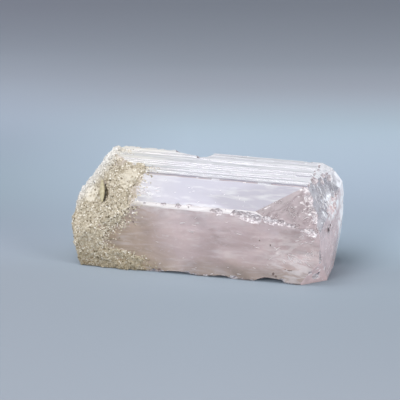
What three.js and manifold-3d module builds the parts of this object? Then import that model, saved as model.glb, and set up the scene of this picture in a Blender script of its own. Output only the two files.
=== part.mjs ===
// A danburite crystal lying on its side, with a sandy druse grown over its broken base.
// Millimetres, +Z up. +X runs along the crystal's long axis to its chisel tip and -Y is the front.
// The origin is under the middle of the specimen, on the surface it rests on.
import * as THREE from "three";
import Module from "manifold-3d";
import { mergeVertices } from "three/addons/utils/BufferGeometryUtils.js";
import { ImprovedNoise } from "three/addons/math/ImprovedNoise.js";

const wasm = await Module();
wasm.setup();

// Driving dimensions
const LENGTH = 68.4;
const DEPTH = 25.3;
const HEIGHT = 26.6;
const DRUSE_PROUD = 0.4; // how far the druse stands out from the prism faces
const DRUSE_ROOT = 1.0; // how deep the druse is rooted in the sides of the crystal
const DRUSE_END = 2.2; // thickness of the druse over the broken base
const FIT_GAP = 0.3; // between the druse and the crystal
const FAR = 200; // size of the blocks that cut the planes

// Places of the crystal's edges, worked out from the driving dimensions
const FRONT = -DEPTH / 2 + DRUSE_PROUD;
const BACK = DEPTH / 2 - DRUSE_PROUD;
const TIP = LENGTH / 2;
const BASE = -LENGTH / 2;
const TOP_FRONT_Y = FRONT + 6.5; // where the striated top face meets the mirror face
const TOP_FRONT_Z = HEIGHT - 1.9;
const MIRROR_Z = TOP_FRONT_Z - 6; // lower edge of the mirror face
const RIM_Y = BACK - 2.2; // back edge of the striated top face
const FOOT_Y = BACK - 6.5; // back edge of the face the crystal rests on
const AXIS_Z = HEIGHT / 2 - 0.3;
const RIDGE_X = TIP - 0.9; // front end of the chisel ridge
const RIDGE_Z = 14;
const FIRST_RISER = 0.4; // step between the mirror face and the striated top face
const TOP_SLOPE = 0.02;

// Corners of the prism's section as [y, z], counter-clockwise seen from the tip
const SECTION = [
  [FRONT + 0.6, 0],
  [FOOT_Y, 0],
  [BACK - 0.45, 7],
  [BACK, 8.5],
  [BACK, 18],
  [RIM_Y, HEIGHT - 0.5],
  [RIM_Y, TOP_FRONT_Z - FIRST_RISER + TOP_SLOPE * (RIM_Y - TOP_FRONT_Y)],
  [TOP_FRONT_Y, TOP_FRONT_Z - FIRST_RISER],
  [FRONT + 0.45, MIRROR_Z],
  [FRONT, MIRROR_Z - 1.2],
  [FRONT, 0.5],
];

// The same section with its top face as one plane
const HULL_SECTION = [
  ...SECTION.slice(0, 6),
  [TOP_FRONT_Y, TOP_FRONT_Z],
  ...SECTION.slice(8),
];

// Growth ledges on the top face: front riser, rise, start and end along the crystal
const TOP_LEDGES = [
  { y: TOP_FRONT_Y + 0.2, rise: FIRST_RISER, from: BASE, to: TIP },
  { y: -3.1, rise: 0.15, from: BASE, to: 6 },
  { y: -0.5, rise: 0.22, from: BASE, to: TIP },
  { y: 2.2, rise: 0.18, from: -20, to: TIP },
  { y: 4.2, rise: 0.22, from: BASE, to: TIP },
  { y: 5.9, rise: 0.18, from: BASE, to: 22 },
  { y: 7.3, rise: 0.25, from: BASE, to: TIP },
  { y: 8.4, rise: 0.3, from: -2, to: 23.5 },
];

// Low growth plates on the back face: height of the middle, width, start and end
const BACK_PLATES = [
  { z: 11.4, width: 4.2, from: -19, to: 20 },
  { z: 15.9, width: 2.2, from: -12, to: 28 },
];
const PLATE_RISE = 0.25;

// Faces that end the prism at the tip, each as a normal and a point on it
const UPPER_DOME = { normal: [1, -0.17, 0.58], point: [28.2, TOP_FRONT_Y, TOP_FRONT_Z] };
const SHOULDER = { normal: [0.464, -0.075, 0.883], point: [28.2, TOP_FRONT_Y, TOP_FRONT_Z] };
const LOWER_END = { normal: [1, -0.01, 0.05], point: [RIDGE_X, FRONT, RIDGE_Z] };
const CORNER_FACE = { normal: [0.134, -0.818, 0.56], point: [28.2, TOP_FRONT_Y, TOP_FRONT_Z] };
const LOW_BACK_CORNER = { normal: [1, 0.109, -0.127], point: [TIP - 0.6, 9.9, 12] };
const LOW_FRONT_CORNER = { normal: [0.62, -0.61, -0.49], point: [27.9, FRONT, 0] };
const TIP_FACES = [
  UPPER_DOME, SHOULDER, LOWER_END, CORNER_FACE, LOW_BACK_CORNER, LOW_FRONT_CORNER,
];

// Faces that end the druse at the base
const BASE_FACES = [
  { normal: [-0.474, -0.587, 0.655], point: [-15.9, TOP_FRONT_Y, TOP_FRONT_Z] },
  { normal: [-0.824, -0.039, 0.565], point: [-27.6, -0.9, 25.2] },
  { normal: [-0.95, -0.2, 0.1], point: [-34.1, TOP_FRONT_Y, 11.3] },
  { normal: [-0.95, -0.1, -0.28], point: [-31.9, FRONT, 5.5] },
  { normal: [-0.85, 0.5, 0.15], point: [-33.3, 1.5, 12] },
];

// Edge of the druse round the prism: [degrees about the axis from +Y towards +Z, x]
const DRUSE_EDGE = [
  [-25, -18.5], [0, -20.5], [20, -19.5], [38, -22.5], [52, -25.8], [90, -25.2], [94, -20],
  [98, -16], [116, -15.4], [124, -16.6], [140, -18.6], [154, -18.2], [162, -17.4], [181, -19.5],
  [190, -21.7], [198, -23.5], [206, -24.6], [212, -23.2], [215, -17], [218, -13.5], [226, -15],
  [240, -17.5], [262, -19.5], [285, -21], [310, -19], [335, -18.5],
];

// Broken hollows: centre, radii
const SCARS = [
  { at: [-6.5, 11, 27.6], radii: [5.5, 4.5, 2.6] }, // gap in the back rim
  { at: [-3.4, 10.8, 26.9], radii: [2.6, 5, 2.7] },
  { at: [20, FRONT - 1, -1.1], radii: [4.6, 2.9, 2.7] }, // arches in the lower front edge
  { at: [-4.5, FRONT - 0.6, -1.6], radii: [13, 2.4, 2.8] },
  { at: [6, FRONT - 0.8, -1.5], radii: [6, 2.2, 2.4] },
  { at: [14.3, FRONT - 0.3, 17.6], radii: [2.2, 0.9, 1.5] }, // chips under the mirror face
  { at: [6.6, FRONT - 0.2, 17.9], radii: [1.3, 0.7, 1] },
  { at: [20.4, FRONT - 0.6, 16.7], radii: [2.6, 1.1, 1.7] }, // chips under the corner face
  { at: [23.6, FRONT - 0.5, 16.4], radii: [1.2, 0.9, 0.8] },
  { at: [26.7, FRONT - 0.7, 15.9], radii: [2.7, 1.3, 1.1] },
  { at: [31.8, FRONT - 0.4, 14.6], radii: [2.2, 1.4, 1.6] },
  { at: [29.9, -7.6, 22.5], radii: [1.5, 1.7, 2] }, // chips down the edge beside the corner face
  { at: [31.4, -9.2, 19.4], radii: [1.4, 1.5, 1.9] },
  { at: [34.4, -0.3, 17.8], radii: [2, 2.5, 1.9] }, // chips on the tip
  { at: [31.4, 5.8, 23.6], radii: [1, 1.7, 0.9] },
  { at: [30.6, 1.9, 23.9], radii: [0.9, 1.3, 1] },
  { at: [34.4, 11.6, 13], radii: [1.2, 1.6, 2.4] },
  { at: [33.8, -13.2, 3.8], radii: [3, 2.8, 4.2] },
  { at: [3, BACK + 0.9, 18.2], radii: [6, 1.8, 2.6] }, // chips on the hidden edges
  { at: [22, BACK + 0.5, 8], radii: [3.4, 1.5, 2.2] },
  { at: [12, FOOT_Y + 1.6, -0.8], radii: [5, 2.6, 2] },
];

const ROUND_SIDES = 96; // steps of the druse's edge
const EDGE_WANDER = 0.9;
const DRUSE_DETAIL = 13;
const GRAIN_COUNT = 150;
const LUMP_HEIGHT = 0.55; // broad lumps of the druse and the fine ones between them
const LUMP_SIZE = 3.4;
const BUMP_HEIGHT = 0.3;
const BUMP_SIZE = 1.3;
const LEAF_PIT = { at: [-26.4, -4.9, 18.1], along: [-0.23, 0.8, 0.55], radii: [1.2, 4.4, 1.1] };
const DRUSE_CENTRE = new THREE.Vector3(-22.5, -0.5, 12);

const noise = new ImprovedNoise();

// A closed solid from a geometry's triangles
function solidOf(geometry) {
  const loose = geometry.index ? geometry.toNonIndexed() : geometry;
  const bare = new THREE.BufferGeometry().setAttribute("position", loose.getAttribute("position"));
  const merged = mergeVertices(bare, 1e-4);
  return new wasm.Manifold(
    new wasm.Mesh({
      numProp: 3,
      vertProperties: merged.attributes.position.array,
      triVerts: new Uint32Array(merged.index.array),
    }),
  );
}

function meshOf(solid, name, material) {
  const made = solid.getMesh();
  const geometry = new THREE.BufferGeometry();
  geometry.setAttribute("position", new THREE.BufferAttribute(made.vertProperties, made.numProp));
  geometry.setIndex(new THREE.BufferAttribute(made.triVerts, 1));
  geometry.computeVertexNormals();
  const mesh = new THREE.Mesh(geometry, material);
  mesh.name = name;
  return mesh;
}

// A prism along X with the outline [y, z]
function prismAlongX(outline, from, to) {
  const shape = new THREE.Shape(outline.map(([y, z]) => new THREE.Vector2(y, z)));
  const geometry = new THREE.ExtrudeGeometry(shape, { depth: to - from, bevelEnabled: false });
  const turn = new THREE.Matrix4().makeBasis(
    new THREE.Vector3(0, 1, 0),
    new THREE.Vector3(0, 0, 1),
    new THREE.Vector3(1, 0, 0),
  );
  return solidOf(geometry.applyMatrix4(turn).translate(from, 0, 0));
}

// Everything on the far side of a face
function beyond({ normal, point }, shift = 0) {
  const out = new THREE.Vector3(...normal).normalize();
  const turn = new THREE.Quaternion().setFromUnitVectors(new THREE.Vector3(0, 0, 1), out);
  const middle = new THREE.Vector3(...point).addScaledVector(out, shift + FAR / 2);
  const geometry = new THREE.BoxGeometry(FAR, FAR, FAR).applyQuaternion(turn);
  return solidOf(geometry.translate(middle.x, middle.y, middle.z));
}

const cutBy = (solid, faces, shift = 0) =>
  faces.reduce((rest, face) => rest.subtract(beyond(face, shift)), solid);

// The long faces of the prism as normals and points
function sectionFaces(outline) {
  return outline.map(([y, z], i) => {
    const [nextY, nextZ] = outline[(i + 1) % outline.length];
    return { normal: [0, nextZ - z, y - nextY], point: [0, y, z] };
  });
}

// A long thin slab whose front edge wanders a little
function ledge({ y, rise, from, to }, top, order) {
  const steps = 9;
  const wander = 0.16;
  const edge = [...Array(steps + 1).keys()].map((i) => {
    const x = THREE.MathUtils.lerp(from - 1, to + 1, i / steps);
    return new THREE.Vector2(x, y + wander * noise.noise(x * 0.31, order * 7.3, 0.5));
  });
  const shape = new THREE.Shape([
    ...edge,
    new THREE.Vector2(to + 1.6, RIM_Y + 2),
    new THREE.Vector2(from - 1.6, RIM_Y + 2),
  ]);
  const below = rise + 0.8;
  const geometry = new THREE.ExtrudeGeometry(shape, { depth: below, bevelEnabled: false });
  geometry.translate(0, -y, -below).rotateX(Math.atan(TOP_SLOPE)).translate(0, y, top);
  return solidOf(geometry);
}

// A low plate lying on the back face
function backPlate({ z, width, from, to }) {
  const outline = [
    [BACK - 1, z - width / 2],
    [BACK + PLATE_RISE, z - width / 2],
    [BACK + PLATE_RISE, z + width * 0.45],
    [BACK - 1, z + width / 2],
  ];
  return prismAlongX(outline, from, to);
}

// A rough rounded block, subtracted to leave a shell-shaped scar
function scar({ at, radii }, order) {
  const geometry = new THREE.IcosahedronGeometry(1, 3);
  const position = geometry.getAttribute("position");
  const p = new THREE.Vector3();
  const roughness = 0.14;
  for (let i = 0; i < position.count; i += 1) {
    p.fromBufferAttribute(position, i).normalize();
    const shift = noise.noise(p.x * 1.9 + order * 3.7, p.y * 1.9, p.z * 1.9);
    p.multiplyScalar(1 + roughness * shift);
    position.setXYZ(i, p.x, p.y, p.z);
  }
  geometry.scale(...radii).translate(...at);
  return solidOf(geometry);
}

// The body whose surface lies where a ray from the centre first meets one of the faces
function bodyInside(faces, centre, detail, lump) {
  const planes = faces.map(({ normal, point }) => {
    const out = new THREE.Vector3(...normal).normalize();
    return new THREE.Plane().setFromNormalAndCoplanarPoint(out, new THREE.Vector3(...point));
  });
  const geometry = new THREE.IcosahedronGeometry(1, detail);
  const position = geometry.getAttribute("position");
  const ray = new THREE.Vector3();
  for (let i = 0; i < position.count; i += 1) {
    ray.fromBufferAttribute(position, i).normalize();
    const reaches = planes
      .map((plane) => [-plane.distanceToPoint(centre), plane.normal.dot(ray)])
      .filter(([, facing]) => facing > 0.01)
      .map(([distance, facing]) => distance / facing);
    const reach = Math.min(...reaches);
    const p = ray.clone().multiplyScalar(reach).add(centre);
    p.addScaledVector(ray, lump(p));
    position.setXYZ(i, p.x, p.y, p.z);
  }
  return solidOf(geometry);
}

// Everything on the base side of the druse's ragged edge
function druseZone(shift) {
  const outer = 40;
  const inner = 5;
  const far = BASE - 30;
  const ring = [...Array(ROUND_SIDES).keys()].map((i) => {
    const angle = (i / ROUND_SIDES) * 360 - 25;
    const next = DRUSE_EDGE.findIndex(([a]) => a > angle);
    const [a1, x1] = next < 0 ? [335, DRUSE_EDGE[0][1]] : DRUSE_EDGE[next];
    const [a0, x0] = next < 0 ? DRUSE_EDGE[DRUSE_EDGE.length - 1] : DRUSE_EDGE[next - 1];
    const share = a1 > a0 ? (angle - a0) / (a1 - a0) : 0;
    const radians = THREE.MathUtils.degToRad(angle);
    const ragged = EDGE_WANDER * noise.noise(i * 0.83, 4.1, 2.7);
    const x = THREE.MathUtils.lerp(x0, x1, share) + ragged + shift;
    return { x, y: Math.cos(radians), z: Math.sin(radians) };
  });
  const place = ({ y, z }, x, radius) => [x, y * radius, AXIS_Z + z * radius];
  const tail = [far, 0, AXIS_Z];
  const head = [ring.reduce((sum, p) => sum + p.x, 0) / ROUND_SIDES, 0, AXIS_Z];
  const triangles = ring.flatMap((p, i) => {
    const q = ring[(i + 1) % ROUND_SIDES];
    const [pf, qf] = [place(p, far, outer), place(q, far, outer)];
    const [po, qo] = [place(p, p.x, outer), place(q, q.x, outer)];
    const [pi, qi] = [place(p, p.x, inner), place(q, q.x, inner)];
    return [tail, qf, pf, pf, qf, qo, pf, qo, po, po, qo, qi, po, qi, pi, pi, qi, head];
  });
  const geometry = new THREE.BufferGeometry();
  geometry.setAttribute("position", new THREE.Float32BufferAttribute(triangles.flat(), 3));
  return solidOf(geometry);
}

// Ledged prism with its chisel tip and broken edges, and a slimmer root inside the druse
function buildCrystal() {
  let top = TOP_FRONT_Z - FIRST_RISER;
  let body = prismAlongX(SECTION, BASE - 4, TIP + 8);
  TOP_LEDGES.forEach((step, order) => {
    top += step.rise;
    body = body.add(ledge(step, top + TOP_SLOPE * (step.y - TOP_FRONT_Y), order));
  });
  BACK_PLATES.forEach((plate) => {
    body = body.add(backPlate(plate));
  });
  const rimFace = { normal: [0, 8.1, 2.2], point: [0, RIM_Y, HEIGHT - 0.5] };
  const lid = { normal: [0, 0, 1], point: [0, 0, HEIGHT] };
  const tipStop = { normal: [1, 0, 0], point: [TIP, 0, 0] };
  body = cutBy(body, [rimFace, lid, tipStop, ...TIP_FACES]);
  SCARS.forEach((hollow, order) => {
    body = body.subtract(scar(hollow, order));
  });
  const root = crystalRoot(0);
  return body.subtract(druseZone(FIT_GAP).subtract(root));
}

// The slim part of the crystal that the druse wraps
function crystalRoot(grow) {
  const prism = prismAlongX(HULL_SECTION, BASE - 4, TIP + 8);
  const slim = cutBy(prism, sectionFaces(HULL_SECTION), grow - DRUSE_ROOT);
  return cutBy(slim, BASE_FACES, grow - DRUSE_END);
}

// A sandy skin of grown-together grains over the base of the crystal
function buildDruse() {
  const faces = [
    ...sectionFaces(HULL_SECTION).map(({ normal, point }) => {
      const out = new THREE.Vector3(...normal).normalize().multiplyScalar(DRUSE_PROUD * 0.6);
      return { normal, point: new THREE.Vector3(...point).add(out).toArray() };
    }),
    ...BASE_FACES,
    { normal: [1, 0, 0], point: [-8, 0, 0] },
  ];
  const lump = ({ x, y, z }) =>
    LUMP_HEIGHT * noise.noise(x / LUMP_SIZE, y / LUMP_SIZE, z / LUMP_SIZE) +
    BUMP_HEIGHT * noise.noise(x / BUMP_SIZE + 9, y / BUMP_SIZE, z / BUMP_SIZE);
  let skin = bodyInside(faces, DRUSE_CENTRE, DRUSE_DETAIL, lump);
  skin = grains(faces).reduce((whole, grain) => whole.add(grain), skin);
  skin = skin.subtract(leafPit());
  skin = skin.intersect(druseZone(0)).subtract(crystalRoot(FIT_GAP));
  const box = [
    { normal: [-1, 0, 0], point: [BASE, 0, 0] },
    { normal: [0, -1, 0], point: [0, -DEPTH / 2, 0] },
    { normal: [0, 1, 0], point: [0, DEPTH / 2, 0] },
    { normal: [0, 0, -1], point: [0, 0, 0] },
  ];
  skin = cutBy(skin, box);
  return skin.decompose().sort((a, b) => b.volume() - a.volume())[0];
}

// The leaf-shaped hollow high on the druse
function leafPit() {
  const geometry = new THREE.IcosahedronGeometry(1, 3).scale(...LEAF_PIT.radii);
  const out = new THREE.Vector3(...BASE_FACES[0].normal).normalize();
  const along = new THREE.Vector3(...LEAF_PIT.along).projectOnPlane(out).normalize();
  const turn = new THREE.Matrix4().makeBasis(along.clone().cross(out), along, out);
  return solidOf(geometry.applyMatrix4(turn).translate(...LEAF_PIT.at));
}

// Small blocky crystals spread evenly over the druse
function grains(faces) {
  const golden = Math.PI * (3 - Math.sqrt(5));
  return [...Array(GRAIN_COUNT).keys()].map((i) => {
    const height = 1 - (2 * (i + 0.5)) / GRAIN_COUNT;
    const round = Math.sqrt(1 - height * height);
    const ray = new THREE.Vector3(height, round * Math.cos(i * golden), round * Math.sin(i * golden));
    const reach = Math.min(
      ...faces.map(({ normal, point }) => {
        const out = new THREE.Vector3(...normal).normalize();
        const gap = new THREE.Vector3(...point).sub(DRUSE_CENTRE).dot(out);
        const facing = out.dot(ray);
        return facing > 0.01 ? gap / facing : Infinity;
      }),
    );
    const at = ray.multiplyScalar(reach - 0.25).add(DRUSE_CENTRE);
    const size = 0.75 + 0.35 * Math.sin(i * 2.7);
    const geometry = new THREE.OctahedronGeometry(size, 0);
    geometry.rotateX(i * 1.3).rotateY(i * 2.1).rotateZ(i * 0.7);
    return solidOf(geometry.translate(at.x, at.y, at.z));
  });
}

const palePink = new THREE.MeshStandardMaterial({
  color: 0xd9c9c9,
  roughness: 0.15,
  metalness: 0,
  transparent: true,
  opacity: 0.55,
});
const sandyBeige = new THREE.MeshStandardMaterial({ color: 0xb9ad94, roughness: 0.9, metalness: 0 });

const specimen = new THREE.Group();
specimen.add(meshOf(buildCrystal(), "danburite_crystal", palePink));
specimen.add(meshOf(buildDruse(), "druse_crust", sandyBeige));

export default specimen;
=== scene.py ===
"""A pale pink danburite crystal lying on its side, with a sandy druse over its broken base."""

import math
import random

import bmesh
import bpy
from mathutils import Matrix, Vector, noise


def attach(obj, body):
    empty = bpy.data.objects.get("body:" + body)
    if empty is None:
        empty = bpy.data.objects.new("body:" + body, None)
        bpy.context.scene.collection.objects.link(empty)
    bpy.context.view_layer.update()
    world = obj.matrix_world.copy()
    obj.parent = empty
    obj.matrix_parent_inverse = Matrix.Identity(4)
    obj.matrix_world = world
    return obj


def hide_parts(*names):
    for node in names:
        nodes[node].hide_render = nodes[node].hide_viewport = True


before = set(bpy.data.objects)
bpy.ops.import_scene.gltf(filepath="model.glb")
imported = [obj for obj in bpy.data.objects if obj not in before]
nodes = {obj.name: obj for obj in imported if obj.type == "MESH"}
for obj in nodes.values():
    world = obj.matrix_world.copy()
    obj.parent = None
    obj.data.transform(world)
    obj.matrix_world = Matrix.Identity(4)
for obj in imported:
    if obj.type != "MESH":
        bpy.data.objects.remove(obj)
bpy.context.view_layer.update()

MM = 0.001
TAU = math.tau

# Crystal, in millimetres: the same edges and faces as the CAD part
LENGTH = 68.4
FRONT = -12.25
BACK = 12.25
TIP = LENGTH / 2
BASE = -LENGTH / 2
TOP_FRONT_Y = -5.75
TOP_FRONT_Z = 24.7
RIM_Y = 10.05
FOOT_Y = 5.75
HEIGHT = 26.6
RIM_DROP = 0.5
FIRST_RISER = 0.4
TOP_SLOPE = 0.02

# Faces: the way out of the crystal and a point of the face
UNDERSIDE = ((0, 0, -1), (0, 0, 0))
BACK_FOOT = ((0, 7, -6.05), (0, FOOT_Y, 0))
BACK_LEAN = ((0, 1.5, -0.45), (0, BACK, 8.5))
BACK_FACE = ((0, 1, 0), (0, BACK, 0))
BIG_BEVEL = ((0, -0.704, 0.71), (0, TOP_FRONT_Y, TOP_FRONT_Z))
NARROW_BEVEL = ((0, -1.2, 0.45), (0, FRONT, 17.5))
FRONT_FACE = ((0, -1, 0), (0, FRONT, 0))
FRONT_FOOT = ((0, -0.5, -0.6), (0, FRONT, 0.5))
LONG_FACES = [
    UNDERSIDE, BACK_FOOT, BACK_LEAN, BACK_FACE, BIG_BEVEL, NARROW_BEVEL, FRONT_FACE, FRONT_FOOT,
]
RIM_FACE = ((0, 8.1, 2.2), (0, RIM_Y, HEIGHT - RIM_DROP))
UPPER_DOME = ((1, -0.17, 0.58), (28.2, TOP_FRONT_Y, TOP_FRONT_Z))
SHOULDER = ((0.464, -0.075, 0.883), (28.2, TOP_FRONT_Y, TOP_FRONT_Z))
LOWER_END = ((1, -0.01, 0.05), (TIP - 0.9, FRONT, 14))
CORNER_FACE = ((0.134, -0.818, 0.56), (28.2, TOP_FRONT_Y, TOP_FRONT_Z))
LOW_BACK_CORNER = ((1, 0.109, -0.127), (TIP - 0.6, 9.9, 12))
LOW_FRONT_CORNER = ((0.62, -0.61, -0.49), (27.9, FRONT, 0))
TIP_STOP = ((1, 0, 0), (TIP, 0, 0))
TOP_FACE = ((0, -0.088, 0.996), (0, TOP_FRONT_Y, TOP_FRONT_Z))
TIP_FACES = [
    UPPER_DOME, SHOULDER, LOWER_END, CORNER_FACE, LOW_BACK_CORNER, LOW_FRONT_CORNER, TIP_STOP,
]
BASE_FACES = [
    ((-0.474, -0.587, 0.655), (-15.9, TOP_FRONT_Y, TOP_FRONT_Z)),
    ((-0.824, -0.039, 0.565), (-27.6, -0.9, 25.2)),
    ((-0.95, -0.2, 0.1), (-34.1, TOP_FRONT_Y, 11.3)),
    ((-0.95, -0.1, -0.28), (-31.9, FRONT, 5.5)),
    ((-0.85, 0.5, 0.15), (-33.3, 1.5, 12)),
]
ROOT_DEPTHS = (0.45, 1, 1, 1, 1)  # how far the crystal stops short of the druse's outer faces
OUTER_FACES = [*LONG_FACES, RIM_FACE, TOP_FACE, *BASE_FACES]
SAME_WAY = 0.998  # cosine of the angle within which a mesh face belongs to a face of the crystal
ROUGH_END = 6  # spare stone at the ends and sides, which is cleaved off
ROUGH_SIDE = 20

# The photograph's camera: distance in metres, aim point in millimetres
CAMERA_AZIMUTH = 16
CAMERA_ELEVATION = 18
CAMERA_DISTANCE = 1.2
CAMERA_AIM = (-0.07, -5.75, 18.39)
PIXELS_PER_MM = 3.9
IMAGE_SIZE = 400
SENSOR = 36


def mm(values):
    return Vector(values) * MM


def linear(code, alpha=1.0):
    """An sRGB hex colour as linear values."""
    channels = [int(code[i:i + 2], 16) / 255 for i in (0, 2, 4)]
    curve = [c / 12.92 if c <= 0.04045 else ((c + 0.055) / 1.055) ** 2.4 for c in channels]
    return (*curve, alpha)


# Mesh helpers
def add_object(name, data):
    obj = bpy.data.objects.new(name, data)
    bpy.context.scene.collection.objects.link(obj)
    return obj


def new_object(name, bm, materials=()):
    """An object made of a bmesh, with its faces turned outwards."""
    bmesh.ops.recalc_face_normals(bm, faces=bm.faces)
    mesh = bpy.data.meshes.new(name)
    for material in materials:
        mesh.materials.append(material)
    bm.to_mesh(mesh)
    bm.free()
    return add_object(name, mesh)


def use_slot(obj, index):
    for polygon in obj.data.polygons:
        polygon.material_index = index


def apply_modifiers(obj):
    """Puts what the modifiers make into the mesh."""
    depsgraph = bpy.context.evaluated_depsgraph_get()
    made = bpy.data.meshes.new_from_object(obj.evaluated_get(depsgraph), depsgraph=depsgraph)
    old = obj.data
    obj.modifiers.clear()
    obj.data = made
    bpy.data.meshes.remove(old)
    made.name = obj.name


def boolean(obj, operation, tools):
    """Joins or cuts the object with each tool in turn, then removes the tools."""
    for tool in tools:
        step = obj.modifiers.new(tool.name, "BOOLEAN")
        step.operation = operation
        step.solver = "MANIFOLD"
        step.object = tool
    apply_modifiers(obj)
    for tool in tools:
        bpy.data.objects.remove(tool)


def remesh(obj, voxel):
    """Covers the object anew with even faces of about this size."""
    step = obj.modifiers.new("remesh", "REMESH")
    step.mode = "VOXEL"
    step.voxel_size = voxel
    apply_modifiers(obj)


def grow(obj, tree, material):
    """Keeps what Geometry Nodes grow on the object, in one material."""
    step = obj.modifiers.new(tree.name, "NODES")
    step.node_group = tree
    apply_modifiers(obj)
    obj.data.materials.clear()
    obj.data.materials.append(material)


def cleave(bm, face, shift=0.0):
    """Cuts off what lies beyond a face and closes the cut."""
    normal = Vector(face[0]).normalized()
    point = mm(face[1]) + normal * shift * MM
    geometry = bm.verts[:] + bm.edges[:] + bm.faces[:]
    bmesh.ops.bisect_plane(
        bm, geom=geometry, dist=1e-8, plane_co=point, plane_no=normal, clear_outer=True
    )
    bmesh.ops.holes_fill(bm, edges=[edge for edge in bm.edges if edge.is_boundary])


def cleave_root(bm):
    """Cuts the base back to where the crystal ends inside the druse."""
    for face, depth in zip(BASE_FACES, ROOT_DEPTHS):
        cleave(bm, face, -depth)


def block(low, high):
    """A box from its lowest to its highest corner, in millimetres."""
    bm = bmesh.new()
    low, high = mm(low), mm(high)
    place = Matrix.Translation((low + high) / 2) @ Matrix.Diagonal((*(high - low), 1))
    bmesh.ops.create_cube(bm, size=1, matrix=place)
    return bm


def inside(p, faces, depth):
    """Whether a point lies deeper than this behind every one of the faces."""
    return all((p - Vector(point)).dot(Vector(way).normalized()) < -depth for way, point in faces)


def faces_as(normal, face, likeness=SAME_WAY):
    """Whether a face of a mesh looks the same way as a face of the crystal."""
    return normal.dot(Vector(face[0]).normalized()) > likeness


# Material slots of the crystal
CLEAR, ETCHED, BROKEN, MIRROR, BEVEL, TIP_FACE, CORNER, DOME, STAINED = range(9)
TIP_SLOTS = {UPPER_DOME: DOME, SHOULDER: ETCHED, CORNER_FACE: CORNER}
BRUISE_REACH = 4.5  # breaks nearer than this to the bruise on the tip share its material
SHARP_ANGLE = 28

# Striated top face: a slab of growth ledges, longer than the crystal until its ends are cleaved
RISERS = 24
RISER_HALF_DEPTH = 0.03
FIRST_LEDGE_Y = TOP_FRONT_Y + 0.2
SLOPE_RISE = 0.32  # what the slope adds up to across the face
CAP_COLUMNS = 150
CAP_SPARE = 4
CAP_FLOOR = 22.6
CAP_PROUD = 0.05  # how far the slab stands above the block that it is joined to
WHOLE_LEDGE = (BASE - CAP_SPARE - 1, TIP + CAP_SPARE + 1)


def ledge_lines(rng):
    """The growth ledges from front to back: place, height above the first and reach along X."""
    left, right = WHOLE_LEDGE
    lines = [(FIRST_LEDGE_Y, FIRST_RISER, left, right)]
    height = FIRST_RISER
    rise = HEIGHT - RIM_DROP - (TOP_FRONT_Z - FIRST_RISER) - FIRST_RISER - SLOPE_RISE
    for k in range(1, RISERS):
        y = FIRST_LEDGE_Y + (RIM_Y - TOP_FRONT_Y) * (k + rng.uniform(-0.3, 0.3)) / RISERS
        height += rise / (RISERS - 1) + rng.uniform(-0.11, 0.13)
        start = rng.choice([left, left, rng.uniform(-26, 0)])
        end = rng.choice([right, right, rng.uniform(6, 26)])
        lines.append((y, height, start, end))
    return lines


def ledge_height(lines, reached, x):
    """Height of the last ledge passed that reaches this place along the crystal."""
    for _, height, start, end in reversed(lines[:reached + 1]):
        if start < x < end:
            return height
    return 0.0


def top_cap(materials):
    """A slab whose upper side is the staircase of growth ledges."""
    lines = ledge_lines(random.Random(11))
    rows = 2 * len(lines) + 1
    bm = bmesh.new()
    bmesh.ops.create_grid(bm, x_segments=CAP_COLUMNS, y_segments=rows, size=1)
    for vert in bm.verts:
        x = (BASE - CAP_SPARE) + (vert.co.x + 1) / 2 * (LENGTH + 2 * CAP_SPARE)
        row = round((vert.co.y + 1) / 2 * rows)
        line = min(max((row - 1) // 2, 0), len(lines) - 1)
        wander = 0.13 * noise.noise(Vector((x * 0.22, line * 5.3, 1.7)))
        past_riser = row % 2 == 0
        y = lines[line][0] + wander + (RISER_HALF_DEPTH if past_riser else -RISER_HALF_DEPTH)
        reached = line if past_riser else line - 1
        if row == 0:
            y, reached = TOP_FRONT_Y - 0.6, -1
        if row == rows:
            y, reached = RIM_Y + 1.2, len(lines) - 1
        swell = 0.05 * noise.noise(Vector((x * 0.4, y * 1.5, 6.1)))
        height = ledge_height(lines, reached, x)
        z = TOP_FRONT_Z - FIRST_RISER + TOP_SLOPE * (y - TOP_FRONT_Y) + height + swell
        vert.co = mm((x, y, z))
    made = bmesh.ops.extrude_face_region(bm, geom=bm.faces[:])
    for vert in made["geom"]:
        if isinstance(vert, bmesh.types.BMVert):
            vert.co.z = CAP_FLOOR * MM
    cap = new_object("top_cap", bm, materials)
    use_slot(cap, ETCHED)
    return cap


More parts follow.
